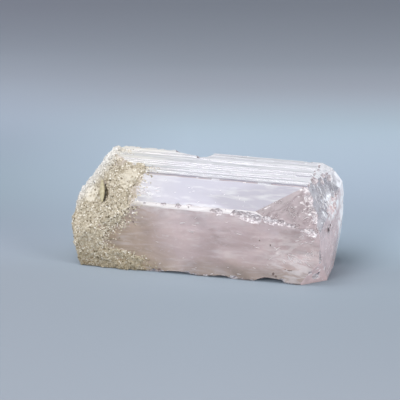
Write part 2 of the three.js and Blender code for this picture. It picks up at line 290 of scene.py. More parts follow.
# Broken hollows: centre and radii of a rough ellipsoid, and how rough it is
SCARS = [
    ((-6.5, 11, 27.6), (5.5, 4.5, 2.6), 0.2),
    ((-3.4, 10.8, 26.9), (2.6, 5, 2.7), 0.2),
    ((20, FRONT - 0.9, -1.3), (4.6, 5.5, 2.8), 0.14),
    ((-4.5, FRONT - 0.6, -1.9), (9, 3.6, 2.8), 0.12),
    ((6.8, FRONT - 0.6, -1.5), (5, 3.4, 2.4), 0.14),
    ((14.3, FRONT - 0.3, 17.6), (2.2, 0.9, 1.5), 0.3),
    ((6.6, FRONT - 0.2, 17.9), (1.3, 0.7, 1), 0.35),
    ((20.4, FRONT - 0.7, 16.7), (2.3, 1.1, 1.5), 0.35),
    ((23.6, FRONT - 0.5, 16.4), (1.2, 0.9, 0.8), 0.3),
    ((26.7, FRONT - 0.8, 15.9), (1.8, 1.1, 0.9), 0.35),
    ((31.4, FRONT - 0.6, 14.6), (1.9, 1.2, 1.5), 0.35),
    ((29.9, -7.6, 22.5), (1.5, 1.7, 2), 0.3),
    ((31.4, -9.2, 19.4), (1.4, 1.5, 1.9), 0.3),
    ((34.1, 0.2, 18.2), (1.9, 4.2, 2.9), 0.35),
    ((34, 5.5, 20), (1.3, 3, 1.6), 0.35),
    ((31.4, 5.8, 23.6), (1, 1.7, 0.9), 0.3),
    ((30.6, 1.9, 23.9), (0.9, 1.3, 1), 0.3),
    ((34.4, 11.6, 13), (1.2, 1.6, 2.4), 0.25),
    ((32.4, -10.4, 1.9), (1.4, 1.3, 1.3), 0.45),
    ((31.2, -12.3, 3.4), (0.9, 0.7, 0.8), 0.4),
    ((3, BACK + 0.9, 18.2), (6, 1.8, 2.6), 0.2),
    ((22, BACK + 0.5, 8), (3.4, 1.5, 2.2), 0.2),
    ((12, FOOT_Y + 1.6, -0.8), (5, 2.6, 2), 0.2),
    ((-25.6, -5.4, 18), (2, 3.6, 2.8), 0.1),  # room under the leaf's slot in the crust
]

# Small chips along worn edges: start, end, way out of the crystal, how many, smallest and largest
EDGE_CHIPS = [
    ((-14, -11.9, 18.4), (17, -12.1, 18.2), (0, -0.8, 0.6), 17, 0.2, 0.65),
    ((5.4, -12.1, 17.9), (8.2, -12.1, 17.9), (0, -0.9, 0.4), 6, 0.5, 1.1),
    ((11.5, -12.2, 17.4), (16.5, -12.2, 16.8), (0, -0.9, 0.4), 12, 0.6, 1.5),
    ((18.4, -12.2, 17.2), (23, -12.2, 16.4), (0, -0.9, 0.4), 9, 0.35, 1.1),
    ((23, -12.2, 16.4), (28, -12.2, 15.4), (0, -0.9, 0.4), 4, 0.2, 0.8),
    ((28.6, -12.2, 15.2), (33.2, -12.2, 13.9), (0.4, -0.9, 0.2), 7, 0.2, 0.9),
    ((28.4, -6.2, 24), (31, -9.3, 19.2), (0.7, -0.5, 0.5), 15, 0.45, 1.3),
    ((31, -9.3, 19.2), (33.2, -12.1, 14.2), (0.7, -0.5, 0.5), 8, 0.3, 0.9),
    ((28.2, -5.5, 24.7), (28, 9.5, 26.2), (0.6, 0, 0.8), 13, 0.25, 0.7),
    ((28.6, -4, 24.7), (31.4, 10.6, 24.4), (0.6, 0, 0.8), 12, 0.3, 0.9),
    ((33.7, 12.1, 17), (32.6, 12.1, 3), (0.7, 0.7, 0), 26, 0.5, 1.2),
    ((33.4, -11.9, 13), (33.6, -12, 2.5), (0.7, -0.7, 0), 11, 0.15, 0.7),
    ((-24, 10.1, 26.1), (-12, 10.1, 26.1), (0, 0.5, 0.8), 8, 0.3, 0.7),
    ((0, 10.1, 26.5), (28, 10.1, 26.2), (0, 0.5, 0.8), 15, 0.3, 0.8),
    ((-13, -12.1, 0.2), (27, -12.1, 0.2), (0, -0.8, -0.6), 26, 0.4, 1.1),
    ((-10, -5.9, 24.6), (27, -5.9, 24.6), (0, -0.5, 0.8), 10, 0.15, 0.4),
    ((-20, 12.2, 8), (32, 12.2, 8), (0, 1, 0), 12, 0.3, 0.9),
    ((-14, 5.9, 0.1), (31, 5.9, 0.1), (0, 0.6, -0.8), 11, 0.3, 0.9),
]


def edge_chips(materials):
    """Chips strung unevenly along each worn edge, a few of them much larger than the rest."""
    rng = random.Random(29)
    chips = []
    for start, end, out, count, small, large in EDGE_CHIPS:
        start, end = Vector(start), Vector(end)
        along = (end - start).normalized()
        for k in range(count):
            place = start.lerp(end, (k + rng.uniform(0.1, 0.9)) / count)
            place += Vector([rng.uniform(-0.3, 0.3) for _ in range(3)])
            size = small + (large - small) * rng.random() ** 2
            place += Vector(out) * size * rng.uniform(0.25, 0.6)
            radii = [size * rng.uniform(0.6, 1.2) * (1 + 0.8 * abs(part)) for part in along]
            seed = len(chips) + 100
            chips.append(rough_ball(materials, f"chip_{seed}", place, radii, 0.5, seed, 2))
    return chips


def rough_ball(materials, name, centre, radii, roughness, seed, detail=3):
    """A rough block that leaves a shell-shaped break with small flat steps."""
    rng = random.Random(seed)
    bm = bmesh.new()
    bmesh.ops.create_icosphere(bm, subdivisions=detail, radius=1)
    for vert in bm.verts:
        p = vert.co.normalized()
        shift = noise.noise(p * 1.7 + Vector((seed * 3.7, 0, 0)))
        shift += 0.45 * noise.noise(p * 4.6 + Vector((0, seed * 2.9, 0)))
        vert.co = p * (1 + roughness * (shift + rng.uniform(-0.25, 0.25)))
    place = Matrix.Translation(mm(centre)) @ Matrix.Diagonal((*mm(radii), 1))
    bmesh.ops.transform(bm, matrix=place, verts=bm.verts)
    ball = new_object(name, bm, materials)
    use_slot(ball, BROKEN)
    return ball


def crystal_body(materials):
    """The crystal as it grew and broke: long faces, ledges, tip and root, then hollows and chips."""
    top = TOP_FRONT_Z - FIRST_RISER - CAP_PROUD
    bm = block((BASE - ROUGH_END, -ROUGH_SIDE, -ROUGH_END), (TIP + ROUGH_END, ROUGH_SIDE, top))
    for face in LONG_FACES:
        cleave(bm, face)
    body = new_object("crystal", bm, materials)
    boolean(body, "UNION", [top_cap(materials)])
    bm = bmesh.new()
    bm.from_mesh(body.data)
    summit = ((0, 0, 1), (0, 0, HEIGHT))
    for face in [RIM_FACE, summit, BIG_BEVEL, NARROW_BEVEL, *TIP_FACES]:
        cleave(bm, face)
    cleave_root(bm)
    bm.to_mesh(body.data)
    bm.free()
    scars = [rough_ball(materials, f"scar_{k}", *scar, k) for k, scar in enumerate(SCARS)]
    boolean(body, "DIFFERENCE", scars + edge_chips(materials))
    for polygon in body.data.polygons:
        centre = polygon.center / MM
        if polygon.material_index != BROKEN:
            polygon.material_index = kind_of_face(centre, polygon.normal)
        elif (centre - Vector(BRUISE_AT)).length < BRUISE_REACH:
            polygon.material_index = TIP_FACE
    return body


def kind_of_face(centre, normal):
    """The top is etched white, the large bevel is a mirror, the broken base is stained."""
    for face in TIP_FACES:
        if faces_as(normal, face):
            return TIP_SLOTS.get(face, TIP_FACE)
    if any(faces_as(normal, face) for face in BASE_FACES):
        return STAINED
    x, y, z = centre
    on_top = z > TOP_FRONT_Z - FIRST_RISER - 0.3 and TOP_FRONT_Y - 0.1 < y < RIM_Y + 0.15
    if on_top and x < SHOULDER[1][0] + 0.3 and (normal.z > 0.3 or abs(normal.x) < 0.5):
        return ETCHED if normal.z > 0.75 or abs(normal.x) > 0.3 else MIRROR
    if faces_as(normal, NARROW_BEVEL, likeness=0.99):
        return BEVEL
    return MIRROR if faces_as(normal, BIG_BEVEL, likeness=0.995) else CLEAR


def smooth_by_angle(obj, degrees):
    """Smooth shading, with the edges sharper than the angle kept sharp."""
    bm = bmesh.new()
    bm.from_mesh(obj.data)
    for face in bm.faces:
        face.smooth = face.material_index != BROKEN
    for edge in bm.edges:
        edge.smooth = edge.is_manifold and edge.calc_face_angle(0) < math.radians(degrees)
    bm.to_mesh(obj.data)
    bm.free()


# Material helpers
def new_material(name):
    material = bpy.data.materials.new(name)
    material.use_nodes = True
    tree = material.node_tree
    return material, tree, tree.nodes["Principled BSDF"]


def add(tree, kind, settings=None, links=None):
    """Adds a node with its settings and its incoming links."""
    node = tree.nodes.new(kind)
    for key, value in (settings or {}).items():
        if isinstance(key, int) or key in node.inputs:
            node.inputs[key].default_value = value
        else:
            setattr(node, key, value)
    for key, source in (links or {}).items():
        tree.links.new(source, node.inputs[key])
    return node


def drawn_out_noise(tree, place, along, across, detail, wave=0.0):
    """A cloudy pattern drawn out along the crystal, `along` and `across` in millimetres."""
    stretch = add(
        tree,
        "ShaderNodeMapping",
        {"Scale": (1 / (along * MM), 1 / (across * MM), 1 / (across * MM))},
        {"Vector": place.outputs["Object"]},
    )
    cloud = add(
        tree,
        "ShaderNodeTexNoise",
        {"Scale": 1.0, "Detail": detail, "Distortion": wave},
        {0: stretch.outputs[0]},
    )
    return cloud.outputs["Fac"]


def colour_ramp(tree, pattern, stops, easing="LINEAR"):
    """Turns a pattern from 0 to 1 into colours, by stops of place and colour."""
    ramp = add(tree, "ShaderNodeValToRGB", links={0: pattern})
    ramp.color_ramp.interpolation = easing
    for position, _ in stops[1:-1]:
        ramp.color_ramp.elements.new(position)
    for element, (position, colour) in zip(ramp.color_ramp.elements, stops):
        element.position = position
        element.color = linear(colour)
    return ramp.outputs[0]


def striation_bump(tree, shader, depth, across, along):
    """Fine growth lines along the crystal, in millimetres."""
    place = add(tree, "ShaderNodeTexCoord")
    bump = add(
        tree,
        "ShaderNodeBump",
        {"Strength": 1.0, "Distance": depth * MM},
        {"Height": drawn_out_noise(tree, place, along, across, 3.0)},
    )
    tree.links.new(bump.outputs[0], shader.inputs["Normal"])
    return place


BODY_PINK = "ecd2cf"
PINK_DENSITY = 10
IOR = 1.63


def danburite_body(tree, shader, roughness, clear):
    """What all faces of the crystal share: they refract, and the stone inside is pale pink."""
    shader.inputs["Roughness"].default_value = roughness
    shader.inputs["IOR"].default_value = IOR
    if isinstance(clear, float):
        shader.inputs["Transmission Weight"].default_value = clear
    else:
        tree.links.new(clear, shader.inputs["Transmission Weight"])
    absorption = add(
        tree,
        "ShaderNodeVolumeAbsorption",
        {"Color": linear(BODY_PINK), "Density": PINK_DENSITY},
    )
    tree.links.new(absorption.outputs[0], tree.nodes["Material Output"].inputs["Volume"])


def stain(tree, place, clean, stained):
    """Colour that turns from clean to iron-stained towards the druse, in cloudy patches."""
    axes = add(tree, "ShaderNodeSeparateXYZ", links={0: place.outputs["Object"]})
    cloud = add(
        tree,
        "ShaderNodeTexNoise",
        {"Scale": 1 / (9 * MM), "Detail": 4.0},
        {0: place.outputs["Object"]},
    )
    reach = add(
        tree,
        "ShaderNodeMapRange",
        {"From Min": -3 * MM, "From Max": -24 * MM},
        {"Value": axes.outputs["X"]},
    )
    patchy = add(
        tree,
        "ShaderNodeMath",
        {"operation": "MULTIPLY_ADD", 1: 0.7, 2: -0.35},
        {0: cloud.outputs["Fac"]},
    )
    low_down = add(
        tree,
        "ShaderNodeMapRange",
        {"From Min": 7 * MM, "From Max": 0, "To Min": -0.12, "To Max": 0.45},
        {"Value": axes.outputs["Z"]},
    )
    lower = add(
        tree,
        "ShaderNodeMath",
        {"operation": "ADD"},
        {0: low_down.outputs[0], 1: patchy.outputs[0]},
    )
    amount = add(
        tree,
        "ShaderNodeMath",
        {"operation": "ADD", "use_clamp": True},
        {0: reach.outputs[0], 1: lower.outputs[0]},
    )
    mix = add(
        tree,
        "ShaderNodeMix",
        {"data_type": "RGBA", 6: linear(clean), 7: linear(stained)},
        {0: amount.outputs[0]},
    )
    return mix.outputs[2]


def streaks(tree, place, along, across, low, high, least=0.0, most=1.0, wave=0.5):
    """Cloudy streaks along the crystal, `along` and `across` in millimetres."""
    amount = add(
        tree,
        "ShaderNodeMapRange",
        {"From Min": low, "From Max": high, "To Min": least, "To Max": most},
        {"Value": drawn_out_noise(tree, place, along, across, 5.0, wave)},
    )
    return amount.outputs[0]


def strongest(tree, patterns):
    """The strongest of several patterns at each point."""
    most = patterns[0]
    for pattern in patterns[1:]:
        most = add(tree, "ShaderNodeMath", {"operation": "MAXIMUM"}, {0: most, 1: pattern}).outputs[0]
    return most


def patch(tree, place, centre, inner, outer, along, across, spread=(1, 1, 1)):
    """A patch of flecks that fades out from its inner to its outer radius, in millimetres."""
    offset = add(
        tree,
        "ShaderNodeVectorMath",
        {"operation": "SUBTRACT", 1: mm(centre)},
        {0: place.outputs["Object"]},
    )
    scaled = add(
        tree,
        "ShaderNodeVectorMath",
        {"operation": "DIVIDE", 1: spread},
        {0: offset.outputs[0]},
    )
    away = add(tree, "ShaderNodeVectorMath", {"operation": "LENGTH"}, {0: scaled.outputs[0]})
    near = add(
        tree,
        "ShaderNodeMapRange",
        {"From Min": outer * MM, "From Max": inner * MM},
        {"Value": away.outputs["Value"]},
    )
    flecks = streaks(tree, place, along, across, 0.42, 0.58, wave=0.8)
    both = add(tree, "ShaderNodeMath", {"operation": "MULTIPLY"}, {0: near.outputs[0], 1: flecks})
    return both.outputs[0]


def whiten(tree, shader, colour, amount, white):
    """Mixes a plain or patterned colour towards another by a pattern, for the shader."""
    mix = add(tree, "ShaderNodeMix", {"data_type": "RGBA", 7: linear(white)}, {0: amount})
    if isinstance(colour, str):
        mix.inputs[6].default_value = linear(colour)
    else:
        tree.links.new(colour, mix.inputs[6])
    tree.links.new(mix.outputs[2], shader.inputs["Base Color"])


VEIL_AT = (26.5, FRONT, 6.5)
RUBBED = (14.2, 17.6)  # the faces are rubbed milky towards the narrow bevel, along Z


def clear_danburite():
    """Growth faces of clear danburite: glossy over a milky, streaky haze of inclusions."""
    material, tree, shader = new_material("clear_danburite")
    place = striation_bump(tree, shader, 0.05, 1.1, 30)
    axes = add(tree, "ShaderNodeSeparateXYZ", links={0: place.outputs["Object"]})
    upper = add(
        tree,
        "ShaderNodeMapRange",
        {"From Min": RUBBED[0] * MM, "From Max": RUBBED[1] * MM, "To Max": 0.85},
        {"Value": axes.outputs["Z"]},
    )
    rubbed = add(
        tree,
        "ShaderNodeMath",
        {"operation": "MULTIPLY"},
        {0: upper.outputs[0], 1: streaks(tree, place, 3.2, 1.2, 0.4, 0.6, wave=1.2)},
    )
    milky = strongest(tree, [
        streaks(tree, place, 5, 0.9, 0.5, 0.8, 0, 0.7),
        streaks(tree, place, 1.7, 1.0, 0.58, 0.72, 0, 0.55, wave=1.5),
        patch(tree, place, VEIL_AT, 4.5, 10, 3.5, 1.2),
        rubbed.outputs[0],
    ])
    whiten(tree, shader, stain(tree, place, "e4cfce", "bda57e"), milky, "fdf1f0")
    danburite_body(tree, shader, 0.14, streaks(tree, place, 9, 5, 0.3, 0.7, 0.42, 0.66))
    return material


def bevel_danburite():
    """The narrow bevel in front, rubbed milky along its length."""
    material, tree, shader = new_material("bevel_danburite")
    place = striation_bump(tree, shader, 0.05, 0.8, 20)
    milky = streaks(tree, place, 5, 0.8, 0.42, 0.68)
    whiten(tree, shader, stain(tree, place, "cdc6c8", "c0b29c"), milky, "e6e2e3")
    danburite_body(tree, shader, 0.3, 0.35)
    return material


def stained_danburite():
    """The broken base where the druse took hold, stained buff and dull."""
    material, tree, shader = new_material("stained_danburite")
    place = striation_bump(tree, shader, 0.2, 0.9, 1.5)
    whiten(tree, shader, "b9aa96", streaks(tree, place, 1.6, 1.1, 0.4, 0.62), "dad1ca")
    danburite_body(tree, shader, 0.4, 0.2)
    return material


def tip_danburite():
    """The lower end faces of the tip: pink and rippled, with small bright cracks."""
    return rippled_danburite("tip_danburite", "fbe1e0", 0.45, 0.28, 0.9)


def corner_danburite():
    """The face that cuts the front corner of the tip, rippled and mostly clear."""
    return rippled_danburite("corner_danburite", "dccdd0", 0.73, 0.58, 0)


def dome_danburite():
    """The upper face of the tip, where the crystal is clearest and looks grey-blue."""
    return rippled_danburite("dome_danburite", "dfdbda", 0.76, 0.5, 0.8)


BRUISE_AT = (33.2, 1, 17.7)
BRUISE_SPREAD = (1, 2.3, 1.1)
# Painted highlight: the end faces whiten towards their back edge, standing in for the bright rim that
# light reflected inside the crystal gives there.
RIM_HIGHLIGHT_SPAN = (6.4, 9.6)  # the end faces turn white towards their back edge, along Y
RIM_WANDER = 4.5


def rippled_danburite(name, body_colour, clearest, haziest, rim_highlight):
    """A rippled end face with white cracks, and a painted highlight of this strength along its back
    edge.
    """
    material, tree, shader = new_material(name)
    place = add(tree, "ShaderNodeTexCoord")
    ripple = add(
        tree,
        "ShaderNodeTexNoise",
        {"Scale": 1 / (2.6 * MM), "Detail": 4.0, "Distortion": 1.2},
        {0: place.outputs["Object"]},
    )
    bump = add(
        tree,
        "ShaderNodeBump",
        {"Strength": 1.0, "Distance": 0.14 * MM},
        {"Height": ripple.outputs["Fac"]},
    )
    tree.links.new(bump.outputs[0], shader.inputs["Normal"])
    axes = add(tree, "ShaderNodeSeparateXYZ", links={0: place.outputs["Object"]})
    wander = streaks(tree, place, 4, 2.6, 0.25, 0.75, -RIM_WANDER * MM, RIM_WANDER * MM)
    across = add(tree, "ShaderNodeMath", {"operation": "ADD"}, {0: axes.outputs["Y"], 1: wander})
    # Painted highlight along the back edge of the end face.
    rim = add(
        tree,
        "ShaderNodeMapRange",
        {"From Min": RIM_HIGHLIGHT_SPAN[0] * MM, "From Max": RIM_HIGHLIGHT_SPAN[1] * MM, "To Max": rim_highlight},
        {"Value": across.outputs[0]},
    )
    white = strongest(tree, [
        streaks(tree, place, 1.8, 1.2, 0.6, 0.7, 0, 0.8),
        rim.outputs[0],
        patch(tree, place, BRUISE_AT, 2.6, 3.6, 2.6, 1.8, BRUISE_SPREAD),
    ])
    whiten(tree, shader, body_colour, white, "ffffff")
    open_part = add(
        tree,
        "ShaderNodeMath",
        {"operation": "MULTIPLY_ADD", 1: -0.85, 2: 1},
        {0: white},
    )
    let_through = add(
        tree,
        "ShaderNodeMath",
        {"operation": "MULTIPLY"},
        {0: streaks(tree, place, 3.5, 3.5, 0.35, 0.65, clearest, haziest), 1: open_part.outputs[0]},
    )
    danburite_body(tree, shader, 0.12, let_through.outputs[0])
    return material


ETCHED_AT = (-13.5, -9.4, 21)


def mirror_danburite():
    """The smoothest growth face, which mirrors the light above, with a few etched white patches; its
    lavender-grey colour is partly painted reflection of the bluish light above.
    """
    material, tree, shader = new_material("mirror_danburite")
    place = striation_bump(tree, shader, 0.02, 1.3, 40)
    white = strongest(tree, [
        streaks(tree, place, 7, 1.1, 0.5, 0.72, 0, 0.7, wave=0.3),
        patch(tree, place, ETCHED_AT, 1, 5, 2.2, 0.7),
    ])
    # Painted reflection: the face's colour is kept grey-lavender rather than pink, standing in for the
    # bluish light it mirrors.
    whiten(tree, shader, stain(tree, place, "cac8d5", "ddd8d2"), white, "ffffff")
    danburite_body(tree, shader, 0.1, 0.5)
    return material


def etched_danburite():
    """The striated top face and the shoulder it ends in, etched white, with grey streaks along the
    growth lines as painted shade of the grooves.
    """
    material, tree, shader = new_material("etched_danburite")
    place = striation_bump(tree, shader, 0.12, 0.45, 12)
    # Painted shade: grey streaks along the growth lines stand in for the shade in the grooves between
    # the ledges.
    groove_shade = streaks(tree, place, 30, 0.45, 0.47, 0.64, 0, 0.75, wave=0.05)
    whiten(tree, shader, stain(tree, place, "efeef1", "f3eddf"), groove_shade, "b4b8bc")
    danburite_body(tree, shader, 0.35, 0.15)
    return material


def broken_danburite():
    """Shell-shaped breaks, full of small steps that glitter white."""
    material, tree, shader = new_material("broken_danburite")
    place = add(tree, "ShaderNodeTexCoord")
    steps = add(
        tree,
        "ShaderNodeTexVoronoi",
        {"Scale": 1 / (0.35 * MM), "feature": "F1"},
        {"Vector": place.outputs["Object"]},
    )
    bump = add(
        tree,
        "ShaderNodeBump",
        {"Strength": 0.7, "Distance": 0.12 * MM},
        {"Height": steps.outputs["Distance"]},
    )
    tree.links.new(bump.outputs[0], shader.inputs["Normal"])
    bright = add(
        tree,
        "ShaderNodeMapRange",
        {"From Min": 0.35, "From Max": 0.85},
        {"Value": steps.outputs["Color"]},
    )
    whiten(tree, shader, "b2a7aa", bright.outputs[0], "ebe5e7")
    danburite_body(tree, shader, 0.25, 0.1)
    return material


# Colours of the druse's grains from the darkest to the lightest, by their share
GRAIN_TONES = [
    (0.0, "54482f"), (0.05, "8d826c"), (0.2, "ada28d"), (0.6, "c1b7a4"), (0.88, "d2caba"),
    (1.0, "efebe3"),
]
# Tints of the druse: way across it, start and end along that way in millimetres, strength, colour
DRUSE_TINTS = [((0, 0, -1), -10, -1, 0.5, "786846"), ((-0.8, 0, 0.6), 34, 37, 0.5, "eef0f4")]


def sandy_druse():
    """Sandy druse: buff grains of a few tones, browner below and pale at the far end."""
    material, tree, shader = new_material("sandy_druse")
    tone = add(tree, "ShaderNodeAttribute", {"attribute_name": "tone"})
    place = add(tree, "ShaderNodeTexCoord")
    colour = colour_ramp(tree, tone.outputs["Fac"], GRAIN_TONES)
    for way, start, end, most, other in DRUSE_TINTS:
        height = add(
            tree,
            "ShaderNodeVectorMath",
            {"operation": "DOT_PRODUCT", 1: way},
            {0: place.outputs["Object"]},
        )
        amount = add(
            tree,
            "ShaderNodeMapRange",
            {"From Min": start * MM, "From Max": end * MM, "To Max": most},
            {"Value": height.outputs["Value"]},
        )
        mix = add(
            tree,
            "ShaderNodeMix",
            {"data_type": "RGBA", 7: linear(other)},
            {0: amount.outputs[0], 6: colour},
        )
        colour = mix.outputs[2]
    tree.links.new(colour, shader.inputs["Base Color"])
    shader.inputs["Roughness"].default_value = 0.55
    shader.inputs["IOR"].default_value = 1.54
    return material


# Druse
SKIN_VOXEL = 0.34
GRAIN_SPACING = 0.25
GRAIN_DENSITY = 14  # at most so many grains a square millimetre
GRAIN_SIZE = (0.2, 0.42)
APRON_REACH = 6  # how far beyond the crust's edge single grains still sit on the crystal
APRON_END = -6
APRON_DEPTH = 0.05
APRON_VOXEL = 0.5
AXIS_Z = 13
# The crust's edge: angle about the crystal's axis from +Y towards +Z, and place along X
DRUSE_EDGE = [
    (-25, -18.5), (0, -20.5), (20, -19.5), (38, -22.5), (52, -25.8), (90, -25.2), (94, -20),
    (98, -16), (116, -15.4), (124, -16.6), (140, -18.6), (154, -18.2), (162, -17.4), (181, -19.5),
    (190, -21.7), (198, -23.5), (206, -24.6), (212, -23.2), (215, -17), (218, -13.5), (226, -15),
    (240, -17.5), (262, -19.5), (285, -21), (310, -19), (335, -18.5),
]


def scatter_tree(name):
    """Geometry Nodes for a mesh with a painted cover: gives the tree, the mesh and the cover."""
    tree = bpy.data.node_groups.new(name, "GeometryNodeTree")
    for way in ("INPUT", "OUTPUT"):
        tree.interface.new_socket("Geometry", in_out=way, socket_type="NodeSocketGeometry")
    source = add(tree, "NodeGroupInput")
    cover = add(tree, "GeometryNodeInputNamedAttribute", {"Name": "cover"})
    return tree, source.outputs[0], cover.outputs["Attribute"]


def set_copies(tree, scatter, shape, turn, size):
    """Copies of a shape on the scattered points."""
    placed = add(
        tree,
        "GeometryNodeInstanceOnPoints",
        links={
            "Points": scatter.outputs["Points"],
            "Instance": shape.outputs[0],
            "Rotation": turn.outputs[0],
            "Scale": size.outputs[0],
        },
    )
    return placed.outputs[0]


def make_real(tree, copies):
    """Ends a tree: the copies become plain mesh."""
    real = add(tree, "GeometryNodeRealizeInstances", links={0: copies})
    add(tree, "NodeGroupOutput", links={0: real.outputs[0]})
    return tree


def grain_nodes():
    """Small blocky crystals set all over a surface, each with a random tone."""
    tree, ground, cover = scatter_tree("grains")
    scatter = add(
        tree,
        "GeometryNodeDistributePointsOnFaces",
        {
            "distribute_method": "POISSON",
            "Distance Min": GRAIN_SPACING * MM,
            "Density Max": GRAIN_DENSITY / MM ** 2,
            "Seed": 5,
        },
        {"Mesh": ground, "Density Factor": cover},
    )
    turn = add(
        tree,
        "FunctionNodeRandomValue",
        {"data_type": "FLOAT_VECTOR", 0: (0, 0, 0), 1: (TAU, TAU, TAU), "Seed": 3},
    )
    low, high = GRAIN_SIZE
    size = add(
        tree,
        "FunctionNodeRandomValue",
        {"data_type": "FLOAT_VECTOR", 0: (low * MM,) * 3, 1: (high * MM,) * 3, "Seed": 8},
    )
    tone = add(tree, "FunctionNodeRandomValue", {"data_type": "FLOAT", "Seed": 21})
    cube = add(tree, "GeometryNodeMeshCube", {"Size": (1, 1, 1)})
    toned = add(
        tree,
        "GeometryNodeStoreNamedAttribute",
        {"data_type": "FLOAT", "domain": "INSTANCE", "Name": "tone"},
        {"Geometry": set_copies(tree, scatter, cube, turn, size), "Value": tone.outputs[1]},
    )
    return make_real(tree, toned.outputs[0])


def druse_skin():
    """The druse's lumpy ground, finer than the CAD solid it starts from."""
    skin = add_object("druse_skin", nodes["druse_crust"].data.copy())
    skin.data.transform(Matrix.Scale(1 / MM, 4))
    remesh(skin, SKIN_VOXEL)
    normals = [vert.normal.copy() for vert in skin.data.vertices]
    for vert, normal in zip(skin.data.vertices, normals):
        p = vert.co
        height = 0.5 * noise.noise(p * 0.4) + 0.35 * noise.noise(p * 0.9) + 0.15 * noise.noise(p * 2.2)
        vert.co += normal * max(height - 0.12, -0.25)
        vert.co.z = max(vert.co.z, 0.0)
    skin.data.transform(Matrix.Scale(MM, 4))
    return skin


def paint_cover(ground, thickness):
    """Stores how thickly grains grow at each point of a mesh, and the tone of the ground there."""
    cover = ground.data.attributes.new("cover", "FLOAT", "POINT")
    tone = ground.data.attributes.new("tone", "FLOAT", "POINT")
    for index, vert in enumerate(ground.data.vertices):
        cover.data[index].value = thickness(vert.co / MM)
        tone.data[index].value = ground_tone(vert.co / MM)


def crust_cover(p):
    """Grains all over, few on two patches, none against the crystal, on the floor or in the slot."""
    if p.z < 0.05 or inside(p, OUTER_FACES, 1) or in_leaf_slot(p):
        return 0.0
    if (p - Vector(PALE_AT)).length < PALE_RADIUS:
        return 0.2
    return min(1.0, max(0.15, (p - Vector(BARE_AT)).length / BARE_RADIUS - 0.45))


def in_leaf_slot(p):
    """The slot beside the leaf-shaped blade, which is painted darkest as shade."""
    away = p - Vector(SLOT_AT)
    along = Vector(LEAF_ALONG).normalized()
    length = away.dot(along)
    half_width = SLOT_HALF_WIDTH - SLOT_TAPER * length ** 2
    return abs(length) < SLOT_HALF_LENGTH and (away - along * length).length < half_width


def ground_tone(p):
    """Tone of the ground between the grains: darkest in the slot as painted shade, light on the pale
    and bare patches.
    """
    if in_leaf_slot(p):
        # Painted shade in the slot beside the blade.
        return 0.0
    if (p - Vector(PALE_AT)).length < PALE_RADIUS:
        return 0.82
    return 0.75 if (p - Vector(BARE_AT)).length < BARE_RADIUS else 0.3


def crust_edge(p):
    """Where along X the crust ends at this side of the crystal."""
    angle = (math.degrees(math.atan2(p.z - AXIS_Z, p.y)) + 25) % 360 - 25
    for (a0, x0), (a1, x1) in zip(DRUSE_EDGE, DRUSE_EDGE[1:]):
        if a0 <= angle <= a1:
            return x0 + (x1 - x0) * (angle - a0) / (a1 - a0)
    return DRUSE_EDGE[0][1]


def apron_cover(p):
    """Single grains that thin out away from the crust's edge, in clumps."""
    beyond = p.x - crust_edge(p)
    if p.z < 2 and p.y < FRONT + 1 and beyond < 0:
        return 1.0
    if beyond > APRON_REACH or beyond < -3 or p.z < 0.4:
        return 0.0
    clump = 0.7 + noise.noise(p * 0.7) + 0.5 * noise.noise(p * 1.9) + max(0, 1 - beyond / 1.2)
    return max(0.0, min(1.0, clump)) * (1 - max(beyond, 0) / APRON_REACH) ** 2


def crystal_apron():
    """The crystal's own faces near the crust, as a fine mesh for single grains to sit on."""
    bm = block((BASE - ROUGH_END, -ROUGH_SIDE, 0), (APRON_END, ROUGH_SIDE, HEIGHT))
    for face in [*LONG_FACES, RIM_FACE, TOP_FACE]:
        cleave(bm, face, -APRON_DEPTH)
    cleave_root(bm)
    bmesh.ops.scale(bm, vec=(1 / MM,) * 3, verts=bm.verts)
    apron = new_object("apron", bm)
    remesh(apron, APRON_VOXEL)
    apron.data.transform(Matrix.Scale(MM, 4))
    return apron


# The leaf-shaped blade that stands in a dark slot in the crust
LEAF_AT = (-26.5, -5.0, 18.2)
LEAF_ALONG = (-0.23, 0.8, 0.55)
LEAF_OUT = (-0.474, -0.587, 0.655)
LEAF_RADII = (0.8, 3.9, 0.5)
LEAF_TAPER = 0.5
LEAF_BEND = 0.15
SLOT_AT = (-25.6, -5.4, 18.0)
SLOT_HALF_LENGTH = 3.4
SLOT_HALF_WIDTH = 0.95
SLOT_TAPER = 0.06
PALE_AT = (-29.8, -3.2, 16.9)
PALE_RADIUS = 2.3
BARE_AT = (-19.3, -5.3, 22.9)  # few grains grow here
BARE_RADIUS = 3.2


def leaf_blade():
    """A thin blade, pointed at both ends and a little bent."""
    out = Vector(LEAF_OUT).normalized()
    along = (Vector(LEAF_ALONG) - out * Vector(LEAF_ALONG).dot(out)).normalized()
    turn = Matrix((along.cross(out), along, out)).transposed().to_4x4()
    place = Matrix.Translation(mm(LEAF_AT)) @ turn
    bm = bmesh.new()
    bmesh.ops.create_icosphere(bm, subdivisions=3, radius=1)
    for vert in bm.verts:
        vert.co.x *= 1 - LEAF_TAPER * abs(vert.co.y) ** 2
        vert.co.z += LEAF_BEND * vert.co.y ** 2
    bmesh.ops.transform(bm, matrix=place @ Matrix.Diagonal((*mm(LEAF_RADII), 1)), verts=bm.verts)
    return new_object("leaf_blade", bm, [leaf_mineral()])


def leaf_mineral():
    """A pale olive blade of another mineral in the druse, dull with fine grain."""
    material, tree, shader = new_material("leaf_mineral")
    place = add(tree, "ShaderNodeTexCoord")
    whiten(tree, shader, "a09778", streaks(tree, place, 1.5, 0.6, 0.3, 0.7), "bcb397")
    shader.inputs["Roughness"].default_value = 0.5
    return material


